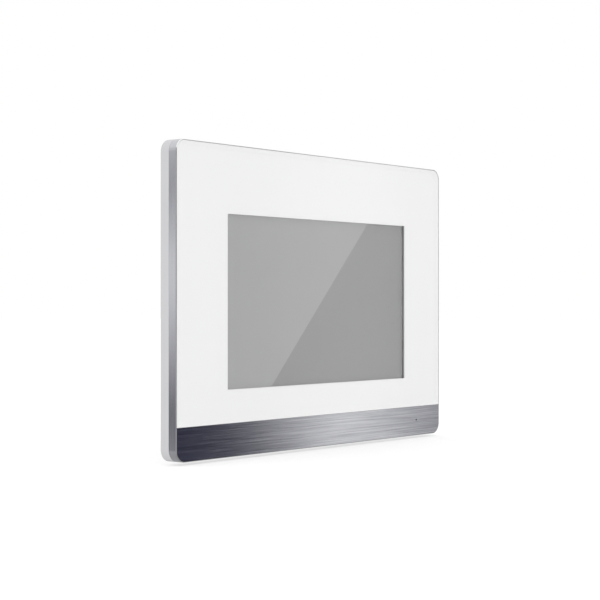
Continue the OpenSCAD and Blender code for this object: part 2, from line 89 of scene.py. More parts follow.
METAL_LOW, METAL_HIGH = box_mm("bezel_frame")
GLASS_LOW, GLASS_HIGH = box_mm("front_glass")
INK_LOW, INK_HIGH = box_mm("ink_border")
TAPE_HIGH = box_mm("glass_tape")[1]
PANEL_LOW, PANEL_HIGH = box_mm("lcd_panel")
BOOT_LOW, BOOT_HIGH = box_mm("mic_boot")
COVER_LOW, COVER_HIGH = box_mm("rear_cover")
BRACKET_LOW, BRACKET_HIGH = box_mm("wall_bracket")
BUMPER_LOW, BUMPER_HIGH = box_mm("rear_bumpers")
LABEL_LOW, LABEL_HIGH = box_mm("rating_label")
CONE_LOW, CONE_HIGH = box_mm("speaker_cone")
SOCKET_LOW, SOCKET_HIGH = box_mm("door_sockets")
CARD_LOW, CARD_HIGH = box_mm("memory_card")
KNOB_LOW, KNOB_HIGH = box_mm("power_knob")
RESET_LOW, RESET_HIGH = box_mm("reset_plunger")

# Layers along Y, from the front to the wall
FRONT_Y = METAL_LOW.y
INK_Y = INK_LOW.y
PLATE_Y = TAPE_HIGH.y
PLATE_BACK_Y = BOOT_LOW.y
LIP_Y = COVER_LOW.y
SEAM_Y = FRONT_Y + 4.8                 # between the metal band and the plastic band
POST_Y = METAL_HIGH.y                  # backs of the frame's screw posts
FLANGE_Y = SEAM_Y + 5.3                # back of the plastic band
BACK_Y = COVER_HIGH.y
POCKET_Y = BACK_Y - 2.2                # floor of the bracket's pocket
FLANGE_T = 1.8
WALL = 2.0

# The body, its metal frame and the opening for the glass
BODY_W = METAL_HIGH.x - METAL_LOW.x
BODY_H = METAL_HIGH.z - METAL_LOW.z
CORNER_R = 6.0
CHAMFER = 0.36
METAL_WALL = 1.4
GLASS_W = GLASS_HIGH.x - GLASS_LOW.x
GLASS_H = GLASS_HIGH.z - GLASS_LOW.z
GLASS_Z = (GLASS_HIGH.z + GLASS_LOW.z) / 2
GLASS_R = CORNER_R - (BODY_W - GLASS_W) / 2
GLASS_LOW_R = 0.25                     # radius of the glass's two lower corners
GLASS_GAP = 0.12
GLASS_BEVEL = 2.5                      # how far the bevel round the back of the glass reaches in
PAINT_T = 0.07
MIC = ((BOOT_LOW.x + BOOT_HIGH.x) / 2, (BOOT_LOW.z + BOOT_HIGH.z) / 2)
MIC_HOLE_R = 0.5
MIC_BORE_R = 1.5
MIC_SKIN = 1.6
POST_R = 2.5
POST_HOLE_R = 1.25

# The display
PICTURE_AT = ((PANEL_HIGH.x + PANEL_LOW.x) / 2, (PANEL_HIGH.z + PANEL_LOW.z) / 2)
PICTURE_W = 154.08
PICTURE_H = 85.92
WINDOW_W = 154.7
WINDOW_H = 86.1
POLARISER_EDGE = 0.6                   # how far the polariser reaches past the picture
LCD_WINDOW_W = 168.0
LCD_WINDOW_H = 103.0

# The raised box on the back and what is cut into it
BOX_W = 195.0
BOX_H = 121.0
BOX_R = 8.0
POCKET_W = 124.0
POCKET_TOP = 48.0
POCKET_LOW = -54.6
HOOK_X = 47.0
HOOK_TOPS = (18.0, -30.0)
HOOK_SLOT = (10.0, 8.8)
CARD_WINDOW_W = 12.0
KNOB_WINDOW_W = 4.6
KNOB_TRAVEL = 2.0
PLUG_WINDOW_H = 8.0
RESET_HOLE_R = 0.8
VENT_SIZE = (22.0, 1.6)
VENT_X = (LABEL_LOW.x + LABEL_HIGH.x) / 2
VENT_ROWS = [24.0 + 4.0 * i for i in range(6)]
SPEAKER_X = (CONE_LOW.x + CONE_HIGH.x) / 2
SPEAKER_R = 14.3
SPEAKER_RING_T = 0.9
SPEAKER_RING_D = 3.2
GRILLE_R = 11.0
GRILLE_PITCH = 3.2
GRILLE_SLOT_W = 1.4
COVER_SCREWS = [(-88, -52), (88, -52), (-88, 52), (88, 52), (-30, 54.6), (30, 54.6)]
CHASSIS_SCREWS = [(-90, -30), (-90, 30), (90, -30), (90, 30),
                  (-45, 54.5), (45, 54.5), (-45, -55.5), (45, -55.5)]
PCB_SCREWS = [(-54, 38), (10, 38), (74, 38), (-54, -50), (50, -46)]
WELL_R = 2.9
WELL_Y = BACK_Y - 4.9
SHANK_HOLE_R = 1.65
BOSS_R = 3.8

# The bracket
BRACKET_W = BRACKET_HIGH.x - BRACKET_LOW.x
BRACKET_H = BRACKET_HIGH.z - BRACKET_LOW.z
BRACKET_T = 1.2
BRACKET_R = 4.0
FLANGE_D = 2.0                         # how far the two side flanges stand off the sheet
CABLE_WINDOW = (76.0, 26.0, 3.0)       # width, height and corner radius
CABLE_WINDOW_Z = 21.0
BOX_SLOT = (9.0, 4.4)
BOX_SLOT_X = 30.0
CORNER_HOLE_R = 2.25
CORNER_HOLE_AT = (52.0, 38.0)
HOOK_W = 8.0
HOOK_HOLE = (9.0, 8.0)                 # the hole that each hook is bent out of
FINGER_H = 6.0

ARC = 12                               # steps round a large corner

# ---- Camera ------------------------------------------------------------------

CAMERA_AT = Vector((-667.0, -520.9, -2.1)) * MM
CAMERA_YAW = math.radians(52.39)
CAMERA_PITCH = math.radians(0.18)
CAMERA_LENS = 95.0


def make_camera():
    data = bpy.data.cameras.new("camera")
    data.lens = CAMERA_LENS
    data.sensor_width = 36.0
    camera = bpy.data.objects.new("camera", data)
    camera.location = CAMERA_AT
    camera.rotation_euler = (math.pi / 2 + CAMERA_PITCH, 0, -CAMERA_YAW)
    bpy.context.scene.collection.objects.link(camera)
    bpy.context.scene.camera = camera


make_camera()
bpy.context.scene.view_settings.view_transform = "Standard"

# ---- Node helpers ------------------------------------------------------------

SOCKETS = {"base_color": "Base Color", "specular": "Specular IOR Level"}


class Tree:
    """Short ways to add nodes to a node tree."""

    def __init__(self, tree):
        self.tree = tree

    def put(self, value, socket):
        if isinstance(value, bpy.types.NodeSocket):
            self.tree.links.new(value, socket)
        else:
            socket.default_value = value

    def add(self, kind, inputs=None, **settings):
        node = self.tree.nodes.new(kind)
        for key, value in settings.items():
            setattr(node, key, value)
        for key, value in (inputs or {}).items():
            self.put(value, node.inputs[key])
        return node

    def place(self):
        """Where a point is in the shared frame, in metres: every piece's origin is the frame's."""
        return self.add("ShaderNodeTexCoord").outputs["Object"]

    def axes(self, vector):
        return self.add("ShaderNodeSeparateXYZ", {0: vector}).outputs

    def scaled(self, vector, scale):
        return self.add("ShaderNodeVectorMath", {0: vector, 1: scale}, operation="MULTIPLY").outputs[0]

    def noise(self, vector, scale=1.0, detail=3.0, roughness=0.5):
        inputs = {"Vector": vector, "Scale": scale, "Detail": detail, "Roughness": roughness}
        return self.add("ShaderNodeTexNoise", inputs).outputs["Fac"]

    def math(self, operation, a, b=0.0, c=0.0):
        return self.add("ShaderNodeMath", {0: a, 1: b, 2: c}, operation=operation).outputs[0]

    def span(self, value, from_low, from_high, to_low, to_high, smooth=False):
        kind = "SMOOTHSTEP" if smooth else "LINEAR"
        inputs = {"Value": value, "From Min": from_low, "From Max": from_high,
                  "To Min": to_low, "To Max": to_high}
        return self.add("ShaderNodeMapRange", inputs, interpolation_type=kind).outputs["Result"]

    def blend(self, factor, a, b):
        """A colour from a to b. A plain colour is given as three numbers."""
        a, b = (c if isinstance(c, bpy.types.NodeSocket) else (*c, 1.0) for c in (a, b))
        return self.add("ShaderNodeMix", {0: factor, 6: a, 7: b}, data_type="RGBA").outputs[2]

    def ramp(self, value, stops):
        """A colour from stops of (value, brightness)."""
        low, high = stops[0][0], stops[-1][0]
        node = self.add("ShaderNodeValToRGB", {0: self.span(value, low, high, 0.0, 1.0)})
        ramp = node.color_ramp
        ramp.interpolation = "EASE"
        while len(ramp.elements) < len(stops):
            ramp.elements.new(0.5)
        for element, (place, level) in zip(ramp.elements, stops):
            element.position = (place - low) / (high - low)
            element.color = (level, level, level + SHADE_BLUE * (1 - level), 1)
        return node.outputs["Color"]


class Material(Tree):
    """A node material with one Principled shader."""

    def __init__(self, name, **sockets):
        self.mat = bpy.data.materials.new(name)
        self.mat.use_nodes = True
        super().__init__(self.mat.node_tree)
        self.shader = self.tree.nodes["Principled BSDF"]
        self.output = self.tree.nodes["Material Output"]
        for key, value in sockets.items():
            self.shader.inputs[SOCKETS.get(key, key.capitalize())].default_value = value

    def link(self, socket, name):
        self.tree.links.new(socket, self.shader.inputs[name])

    def bump(self, height, strength, distance):
        inputs = {"Height": height, "Strength": strength, "Distance": distance * MM}
        self.link(self.add("ShaderNodeBump", inputs).outputs["Normal"], "Normal")

    def see_through(self, factor, tint):
        """The shader's share is factor, and the rest of the light goes straight through."""
        clear = self.add("ShaderNodeBsdfTransparent", {"Color": (*tint, 1.0)})
        inputs = {0: factor, 1: clear.outputs[0], 2: self.shader.outputs[0]}
        mix = self.add("ShaderNodeMixShader", inputs)
        self.tree.links.new(mix.outputs[0], self.output.inputs[0])


def grey(level):
    return (level, level, level)


def shade(colour, factor):
    return tuple(min(1.0, c * factor) for c in colour)


# ---- Materials ---------------------------------------------------------------


def brushed_aluminium():
    """Fine scratches that run along the front and along each of the four sides."""
    m = Material("brushed_aluminium", metallic=1.0, anisotropic=0.8)
    place = m.place()
    facing = m.math("ABSOLUTE", m.axes(m.add("ShaderNodeNewGeometry").outputs["Normal"])[1])
    on_front = m.span(facing, 0.6, 0.8, 0.0, 1.0)
    front = m.noise(m.scaled(place, (30, 60, 2300)), 1.0, 4, 0.62)
    sides = m.noise(m.scaled(place, (34, 1700, 34)), 1.0, 3, 0.5)
    streak = m.add("ShaderNodeMix", {0: on_front, 2: sides, 3: front}, data_type="FLOAT").outputs[0]
    wide = m.noise(m.scaled(place, (16, 40, 1050)), 1.0, 2, 0.5)
    fine = m.math("MULTIPLY", streak, 0.6)
    both = m.math("MULTIPLY_ADD", m.math("MULTIPLY", wide, on_front), 0.4, fine)
    tone = m.span(both, 0.34, 0.66, 0.0, 1.0)
    dark = m.blend(on_front, (0.575, 0.58, 0.61), (0.46, 0.465, 0.495))
    light = m.blend(on_front, (0.705, 0.71, 0.74), (0.82, 0.825, 0.855))
    m.link(m.blend(tone, dark, light), "Base Color")
    m.link(m.span(streak, 0.3, 0.7, 0.11, 0.17), "Roughness")
    m.bump(streak, 0.2, 0.02)
    tangent = m.add("ShaderNodeTangent", direction_type="UV_MAP", uv_map="brush").outputs[0]
    m.link(tangent, "Tangent")
    return m.mat


def polished_edge():
    """The cut edge of the frame, with the faint marks of the cutter."""
    m = Material("polished_edge", metallic=1.0)
    marks = m.noise(m.place(), 700, 3, 0.6)
    m.link(m.blend(marks, grey(0.90), grey(0.97)), "Base Color")
    m.link(m.span(marks, 0.3, 0.7, 0.12, 0.2), "Roughness")
    return m.mat


def clear_glass():
    """Clear in the middle of the view, and more of a mirror towards grazing angles."""
    m = Material("clear_glass", metallic=1.0, roughness=0.03, base_color=(1, 1, 1, 1))
    facing = m.add("ShaderNodeLayerWeight", {"Blend": 0.5}).outputs["Facing"]
    m.see_through(m.math("MULTIPLY_ADD", m.math("POWER", facing, 5.0), 0.7, 0.012), grey(0.99))
    return m.mat


def clear_film():
    m = Material("clear_film", roughness=0.2, base_color=(0.5, 0.52, 0.52, 1))
    m.see_through(0.01, (0.985, 0.985, 0.985))
    return m.mat


def white_ink():
    m = Material("white_ink", roughness=0.5, specular=0.1)
    m.link(m.blend(m.noise(m.place(), 900, 3, 0.6), grey(0.846), grey(0.864)), "Base Color")
    return m.mat


def display_face():
    """Lit from behind in a grey picture inside an unlit border, with a painted glare that makes the
    picture lighter left of a diagonal.
    """
    m = Material("display_face", roughness=0.35, specular=0.15)
    x, _, z = m.axes(m.scaled(m.place(), (1 / MM, 1 / MM, 1 / MM)))
    off_x = m.math("SUBTRACT", x, PICTURE_AT[0])
    off_z = m.math("SUBTRACT", z, PICTURE_AT[1])
    low_x, high_x = -40.8, 43.9        # where the painted glare's edge meets the lower and the upper edge
    slope = (high_x - low_x) / PICTURE_H
    glare_edge = m.math("MULTIPLY_ADD", off_z, slope, (high_x + low_x) / 2)
    side = m.span(m.math("SUBTRACT", off_x, glare_edge), -0.2, 0.2, 0.0, 1.0)
    cells = m.noise(m.scaled(m.place(), (6500, 1, 6500)), 1.0, 1, 0.5)
    # The lighter grey is a painted glare; the darker one is the picture without it.
    light = m.blend(cells, grey(GLARE_PICTURE), grey(GLARE_PICTURE + 0.01))
    dark = m.blend(cells, grey(DARK_PICTURE), grey(DARK_PICTURE + 0.01))
    inside = m.math("MULTIPLY", m.math("LESS_THAN", m.math("ABSOLUTE", off_x), PICTURE_W / 2),
                    m.math("LESS_THAN", m.math("ABSOLUTE", off_z), PICTURE_H / 2))
    m.link(m.blend(inside, grey(CELL_BORDER), grey(CELL_FACE)), "Base Color")
    m.link(m.blend(inside, grey(0.0), m.blend(side, light, dark)), "Emission Color")
    m.shader.inputs["Emission Strength"].default_value = 1.0
    return m.mat


def moulded(name, colour, roughness=0.5, grain=2600, depth=0.03, spread=0.03):
    """Moulded plastic or rubber: a fine spark-eroded grain and a slow drift of tone."""
    m = Material(name, specular=0.4)
    place = m.place()
    drift = m.noise(place, 60, 2, 0.5)
    m.link(m.blend(drift, shade(colour, 1 - spread), shade(colour, 1 + spread)), "Base Color")
    texture = m.noise(place, grain, 3, 0.6)
    m.link(m.span(texture, 0.3, 0.7, roughness - 0.06, roughness + 0.06), "Roughness")
    m.bump(texture, 0.35, depth)
    return m.mat


def plated_steel(name, colour, roughness=0.34):
    """Zinc or tin plate: faint crystals, rolling lines and small changes of gloss."""
    m = Material(name, metallic=1.0)
    place = m.place()
    cells = m.add("ShaderNodeTexVoronoi", {"Vector": place, "Scale": 420.0}).outputs["Color"]
    lines = m.noise(m.scaled(place, (90, 90, 1800)), 1.0, 3, 0.6)
    tone = m.math("MULTIPLY_ADD", m.axes(cells)[0], 0.45, m.math("MULTIPLY", lines, 0.55))
    m.link(m.blend(tone, shade(colour, 0.82), colour), "Base Color")
    m.link(m.span(tone, 0.0, 1.0, roughness - 0.08, roughness + 0.08), "Roughness")
    m.bump(lines, 0.15, 0.02)
    return m.mat


def blank_label():
    """Satin film with a thin printed frame and empty fields."""
    m = Material("label_film", roughness=0.38, specular=0.4)
    x, _, z = m.axes(m.scaled(m.place(), (1 / MM, 1 / MM, 1 / MM)))
    centre = (LABEL_LOW + LABEL_HIGH) / 2
    half = (LABEL_HIGH - LABEL_LOW) / 2
    margin, line = 1.4, 0.12
    off_x = m.math("ABSOLUTE", m.math("SUBTRACT", x, centre.x))
    off_z = m.math("ABSOLUTE", m.math("SUBTRACT", z, centre.z))
    in_x = m.math("LESS_THAN", off_x, half.x - margin)
    in_z = m.math("LESS_THAN", off_z, half.z - margin)
    on_x = m.math("COMPARE", off_x, half.x - margin, line)
    on_z = m.math("COMPARE", off_z, half.z - margin, line)
    fields = m.math("COMPARE", off_z, half.z / 3, line)
    sides = m.math("MULTIPLY", on_x, in_z)
    across = m.math("MULTIPLY", m.math("MAXIMUM", on_z, fields), in_x)
    printed = m.math("MAXIMUM", sides, across)
    film = m.blend(m.noise(m.place(), 500, 2, 0.5), grey(0.74), grey(0.77))
    m.link(m.blend(printed, film, grey(0.12)), "Base Color")
    return m.mat


def circuit_board():
    """Green solder mask over copper: straight tracks and small plated holes."""
    m = Material("circuit_board", roughness=0.33, specular=0.5)
    place = m.place()
    x, _, z = m.axes(place)
    flat = m.add("ShaderNodeCombineXYZ", {0: x, 1: z}).outputs[0]
    bricks = {"Vector": flat, "Scale": 260.0, "Mortar Size": 0.035, "Mortar Smooth": 0.2,
              "Brick Width": 0.9, "Row Height": 0.32}
    tracks = m.add("ShaderNodeTexBrick", bricks).outputs["Fac"]
    spots = m.add("ShaderNodeTexVoronoi", {"Vector": place, "Scale": 330.0}).outputs["Distance"]
    holes = m.math("LESS_THAN", spots, 0.17)
    mask = m.blend(tracks, (0.012, 0.105, 0.045), (0.03, 0.19, 0.085))
    m.link(m.blend(holes, mask, (0.62, 0.5, 0.24)), "Base Color")
    m.bump(m.math("MAXIMUM", tracks, holes), 0.3, 0.03)
    return m.mat


SHADE_BLUE = 0.028                     # how much bluer the dark reflections are
GLARE_PICTURE = 0.274                  # brightness of the picture with its painted glare, and of the picture without it
DARK_PICTURE = 0.184
CELL_FACE = 0.15                       # how light the unlit face is, inside the picture
CELL_BORDER = 0.62                     # and outside it

LOOKS = {
    "brushed_aluminium": brushed_aluminium(),
    "polished_edge": polished_edge(),
    "clear_glass": clear_glass(),
    "white_ink": white_ink(),
    "display_face": display_face(),
    "cover_plastic": moulded("cover_plastic", (0.546, 0.546, 0.56), 0.52),
    "bracket_steel": plated_steel("bracket_steel", (0.66, 0.67, 0.68)),
    "pad_rubber": moulded("pad_rubber", grey(0.03), 0.8, 1500),
    "label_film": blank_label(),
    "screw_steel": plated_steel("screw_steel", (0.5, 0.5, 0.51), 0.3),
    "white_tape": moulded("white_tape", (0.75, 0.75, 0.73), 0.7, 1800),
    "sensor_film": clear_film(),
    "black_foam": moulded("black_foam", grey(0.04), 0.85, 2400, 0.06),
    "grey_foam": moulded("grey_foam", grey(0.56), 0.85, 2400, 0.06),
    "display_steel": plated_steel("display_steel", (0.4, 0.4, 0.41), 0.4),
    "light_guide": moulded("light_guide", (0.8, 0.8, 0.78), 0.4),
    "flex_film": moulded("flex_film", (0.5, 0.2, 0.03), 0.3, 1200),
    "chassis_plastic": moulded("chassis_plastic", (0.05, 0.053, 0.06), 0.5),
    "board": circuit_board(),
    "chip_epoxy": moulded("chip_epoxy", (0.018, 0.018, 0.02), 0.45, 4000),
    "tinned_steel": plated_steel("tinned_steel", (0.7, 0.7, 0.69), 0.25),
    "capacitor_sleeve": plated_steel("capacitor_sleeve", (0.55, 0.55, 0.57), 0.3),
    "ferrite": moulded("ferrite", grey(0.06), 0.6, 3000),
    "ivory_nylon": moulded("ivory_nylon", (0.66, 0.62, 0.5), 0.45, 3000),
    "gold_plate": plated_steel("gold_plate", (0.85, 0.62, 0.25), 0.2),
    "black_plastic": moulded("black_plastic", grey(0.016), 0.45),
    "cell_steel": plated_steel("cell_steel", (0.72, 0.72, 0.72), 0.15),
    "paper_cone": moulded("paper_cone", (0.03, 0.03, 0.032), 0.7, 1800, 0.06),
    "red_insulation": moulded("red_insulation", (0.42, 0.02, 0.015), 0.35),
    "blue_insulation": moulded("blue_insulation", (0.02, 0.07, 0.4), 0.35),
}

# ---- Shapes: functions that take how far to grow and return points (x, z) --------


def rectangle(width, height, radius, centre=(0.0, 0.0), steps=4, low_radius=None):
    """Round corners; low_radius is for the two lower ones where it differs."""
    low_radius = radius if low_radius is None else low_radius

    def points(grow=0.0):
        found = []
        for side_x, side_z, corner, start in ((1, 1, radius, 0), (-1, 1, radius, 90),
                                              (-1, -1, low_radius, 180), (1, -1, low_radius, 270)):
            r = max(corner + grow, 0.02)
            x = centre[0] + side_x * (width / 2 + grow - r)
            z = centre[1] + side_z * (height / 2 + grow - r)
            for step in range(steps + 1):
                angle = math.radians(start + 90 * step / steps)
                found.append((x + r * math.cos(angle), z + r * math.sin(angle)))
        return found

    return points


def disc(radius, centre=(0.0, 0.0), steps=32):
    def points(grow=0.0):
        turns = (2 * math.pi * k / steps for k in range(steps))
        r = radius + grow
        return [(centre[0] + r * math.cos(t), centre[1] + r * math.sin(t)) for t in turns]

    return points


def slot(length, width, centre, upright=False):
    size = (width, length) if upright else (length, width)
    return rectangle(*size, width / 2, centre, steps=6)


def cross(reach, width, centre):
    """A plus sign: the recess in a screw head."""
    def points(grow=0.0):
        r, w = reach + grow, width / 2 + grow
        corner = ((r, -w), (r, w), (w, w))
        found = []
        for turn in range(4):
            c, s = ((1, 0), (0, 1), (-1, 0), (0, -1))[turn]
            found += [(centre[0] + c * x - s * z, centre[1] + s * x + c * z) for x, z in corner]
        return found

    return points


# ---- Mesh building -----------------------------------------------------------


class Builder:
    """A mesh in millimetres: closed loops of points, walls between them and flat faces."""

    def __init__(self):
        self.bm = bmesh.new()
        self.paint = 0

    def loop(self, points):
        return [self.bm.verts.new(p) for p in points]

    def ring(self, shape, y, grow=0.0):
        return self.loop((x, y, z) for x, z in shape(grow))

    def wall(self, *loops, skip=None):
        for a, b in zip(loops, loops[1:]):
            for k in range(len(a)):
                if k != skip:
                    n = (k + 1) % len(a)
                    face = self.bm.faces.new((a[k], a[n], b[n], b[k]))
                    face.material_index = self.paint

    def flat(self, *loops):
        """A flat face inside the first loop, with the other loops as holes in it."""
        verts = [v for loop in loops for v in loop]
        spread = [max(v.co[axis] for v in verts) - min(v.co[axis] for v in verts) for axis in range(3)]
        across, up = sorted(sorted(range(3), key=spread.__getitem__)[1:])
        points = [Vector((v.co[across], v.co[up])) for v in verts]
        edges = []
        for loop in loops:
            first = len(edges)
            edges += [(first + k, first + (k + 1) % len(loop)) for k in range(len(loop))]
        sides = [(*points[a], *points[c]) for a, c in edges]
        _, _, triangles, origin, _, _ = delaunay_2d_cdt(points, edges, [], 0, 1e-5)
        for triangle in triangles:
            corners = [origin[k][0] for k in triangle]
            x, y = sum((points[k] for k in corners), Vector((0, 0))) / 3
            crossed = sum((y0 > y) != (y1 > y) and x < x0 + (y - y0) * (x1 - x0) / (y1 - y0)
                          for x0, y0, x1, y1 in sides)
            if crossed % 2:
                face = self.bm.faces.new([verts[k] for k in corners])
                face.material_index = self.paint

    def rounded(self, shape, y, radius, into, hole=False, steps=3):
        """Loops round an edge, from the wall to the flat face at y; into is the wall's direction."""
        loops = []
        for step in range(steps + 1):
            angle = math.pi / 2 * step / steps
            inset = radius * (1 - math.cos(angle))
            depth = radius * (1 - math.sin(angle))
            loops.append(self.ring(shape, y + into * depth, inset if hole else -inset))
        return loops

    def hole(self, shape, mouth_y, end_y, radius):
        """A hole with a rounded mouth. It returns the loops of its mouth and of its end."""
        edge = self.rounded(shape, mouth_y, radius, 1 if end_y > mouth_y else -1, hole=True)
        end = self.ring(shape, end_y)
        self.wall(end, *edge)
        return edge[-1], end

    def prism(self, low, high):
        """A closed bar between two outlines of the same number of points."""
        low, high = self.loop(low), self.loop(high)
        self.wall(low, high)
        self.flat(low)
        self.flat(high)

    def piece(self, name, node, looks=None, prepare=None):
        """Ends the mesh and makes it the piece that stands for the CAD node."""
        bmesh.ops.recalc_face_normals(self.bm, faces=self.bm.faces)
        bmesh.ops.scale(self.bm, vec=(MM, MM, MM), verts=self.bm.verts)
        mesh = bpy.data.meshes.new(name)
        self.bm.to_mesh(mesh)
        self.bm.free()
        for polygon in mesh.polygons:
            polygon.use_smooth = True
        mesh.set_sharp_from_angle(angle=math.radians(38))
        for look in looks or [SLOT_OF[node]]:
            mesh.materials.append(LOOKS[look])
        if prepare:
            prepare(mesh)
        piece = bpy.data.objects.new(name, mesh)
        bpy.context.scene.collection.objects.link(piece)
        piece.modifiers.new("normals", "WEIGHTED_NORMAL").keep_sharp = True
        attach(piece, NODES[node]["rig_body"])
        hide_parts(node)


# ---- Metal frame -------------------------------------------------------------

BODY = rectangle(BODY_W, BODY_H, CORNER_R, steps=ARC)
GLASS = rectangle(GLASS_W, GLASS_H, GLASS_R, (0, GLASS_Z), ARC, GLASS_LOW_R)


def map_brushing(mesh):
    """A map whose first axis runs across the brushing: up on the front, and in depth on the sides."""
    layer = mesh.uv_layers.new(name="brush")
    for polygon in mesh.polygons:
        normal = polygon.normal
        for loop in polygon.loop_indices:
            x, y, z = mesh.vertices[mesh.loops[loop].vertex_index].co
            along = z if abs(normal.x) > abs(normal.z) else x
            layer.data[loop].uv = (z, x) if abs(normal.y) > 0.72 else (y, along)


def post(b, place):
    """A screw post behind the plate. It returns the loop of its foot."""
    outside = disc(POST_R, place, 24)
    foot = b.ring(outside, PLATE_BACK_Y)
    top = b.rounded(outside, POST_Y, 0.2, -1, steps=2)
    mouth, end = b.hole(disc(POST_HOLE_R, place, 24), POST_Y, PLATE_BACK_Y + 0.6, 0.1)
    b.wall(foot, *top)
    b.flat(top[-1], mouth)
    b.flat(end)
    return foot


def metal_frame():
    b = Builder()
    lip = 0.04
    inside_w, inside_h = BODY_W - 2 * METAL_WALL, BODY_H - 2 * METAL_WALL
    inside = rectangle(inside_w, inside_h, CORNER_R - METAL_WALL, steps=ARC)
    window = rectangle(LCD_WINDOW_W, LCD_WINDOW_H, 1.0, PICTURE_AT)
    opening = [b.ring(GLASS, FRONT_Y, GLASS_GAP + lip), b.ring(GLASS, FRONT_Y + lip, GLASS_GAP),
               b.ring(GLASS, PLATE_Y, GLASS_GAP)]
    window_front, window_back = b.ring(window, PLATE_Y), b.ring(window, PLATE_BACK_Y)
    inner_front, inner_back = b.ring(inside, PLATE_BACK_Y), b.ring(inside, SEAM_Y)
    back = b.rounded(BODY, SEAM_Y, 0.1, -1, steps=2)
    edge = b.rounded(BODY, FRONT_Y, CHAMFER, 1, steps=1)
    # The mic hole's metal walls get the black look: painted shade in the hole.
    b.paint = 2
    mic_mouth, mic_step = b.hole(disc(MIC_HOLE_R, MIC), FRONT_Y, FRONT_Y + MIC_SKIN, 0.04)
    b.paint = 0
    bore_front = b.ring(disc(MIC_BORE_R, MIC), FRONT_Y + MIC_SKIN)
    bore_back = b.ring(disc(MIC_BORE_R, MIC), PLATE_BACK_Y)
    b.wall(back[0], edge[0])
    b.wall(*back)
    b.flat(edge[-1], opening[0], mic_mouth)
    b.wall(*opening)
    b.flat(opening[-1], window_front)
    b.wall(window_front, window_back)
    feet = [post(b, place) for place in CHASSIS_SCREWS]
    b.flat(window_back, inner_front, bore_back, *feet)
    b.wall(inner_front, inner_back)
    b.flat(inner_back, back[-1])
    b.wall(mic_step, bore_front, bore_back)
    b.paint = 1
    b.wall(*edge)
    looks = ["brushed_aluminium", "polished_edge", "black_plastic"]
    b.piece("metal_frame", "bezel_frame", looks, map_brushing)


# ---- Glass, its printing and the display ---------------------------------------


def cover_glass():
    """The pane, with a ground bevel round its back that carries the paint."""
    b = Builder()
    inset = PAINT_T + 0.01

    def pane(grow=0.0):
        return GLASS(grow - inset)

    edge = b.rounded(pane, FRONT_Y, 0.06, 1)
    side = b.ring(pane, FRONT_Y + 0.13)
    back = b.ring(pane, INK_Y - 0.02, -GLASS_BEVEL)
    b.flat(back)
    b.wall(back, side, *edge)
    b.flat(edge[-1])
    b.piece("cover_glass", "front_glass")


def printed_border():
    """White paint on the back of the glass and on its bevel, open over the picture."""
    b = Builder()
    window = rectangle(WINDOW_W, WINDOW_H, 0.3, PICTURE_AT)
    lip_y = FRONT_Y + 0.15
    lip_out = b.ring(GLASS, lip_y)
    lip_in = b.ring(GLASS, lip_y, -PAINT_T)
    root = b.ring(GLASS, INK_Y, -GLASS_BEVEL - 0.1)
    back = b.ring(GLASS, INK_HIGH.y)
    window_front, window_back = b.ring(window, INK_Y), b.ring(window, INK_HIGH.y)
    b.wall(back, lip_out, lip_in, root)
    b.flat(root, window_front)
    b.wall(window_front, window_back)
    b.flat(window_back, back)
    b.piece("printed_border", "ink_border")


def display_cell():
    """The display's glass cell, with its polariser standing a little proud."""
    b = Builder()
    step = 0.12
    width, height = PANEL_HIGH.x - PANEL_LOW.x, PANEL_HIGH.z - PANEL_LOW.z
    cell = rectangle(width, height, 0.4, PICTURE_AT)
    film_w, film_h = PICTURE_W + 2 * POLARISER_EDGE, PICTURE_H + 2 * POLARISER_EDGE
    polariser = rectangle(film_w, film_h, 0.3, PICTURE_AT)
    back = b.ring(cell, PANEL_HIGH.y)
    edge = b.rounded(cell, PANEL_LOW.y + step, 0.1, 1, steps=2)
    foot = b.ring(polariser, PANEL_LOW.y + step)
    top = b.rounded(polariser, PANEL_LOW.y, 0.05, 1, steps=2)
    b.flat(back)
    b.wall(back, *edge)
    b.flat(edge[-1], foot)
    b.wall(foot, *top)
    b.flat(top[-1])
    b.piece("display_cell", "lcd_panel")


# ---- Rear cover --------------------------------------------------------------


def window_in_floor(b, x, width, y0, y1, z_out, z_in):
    """A window through the box's lower wall. It returns its outer and inner loops."""
    corners = ((x - width / 2, y0), (x + width / 2, y0), (x + width / 2, y1), (x - width / 2, y1))
    loops = [b.loop((px, py, z) for px, py in corners) for z in (z_out, z_in)]
    b.wall(*loops)
    return loops


def cover_band(b, box_in):
    """The band that shows beside the metal, the locating lip and the flange, outside and inside."""
    lip_out, lip_in = METAL_WALL + 0.1, METAL_WALL + 1.1
    front = b.rounded(BODY, SEAM_Y, 0.1, 1, steps=2)
    back = b.rounded(BODY, FLANGE_Y, 0.4, -1, steps=3)
    b.wall(*reversed(front), *back)
    root = b.ring(BODY, SEAM_Y, -lip_out)
    b.flat(front[-1], root)
    tip = b.ring(BODY, LIP_Y + 0.2, -lip_out)
    tip_face = b.ring(BODY, LIP_Y, -lip_out - 0.2)
    inner = [b.ring(BODY, LIP_Y, -lip_in), b.ring(BODY, SEAM_Y + 1, -lip_in),
             b.ring(BODY, SEAM_Y + 1, -WALL), b.ring(BODY, FLANGE_Y - FLANGE_T, -WALL)]
    b.wall(root, tip, tip_face, *inner)
    b.flat(inner[-1], box_in)
    return back[-1]


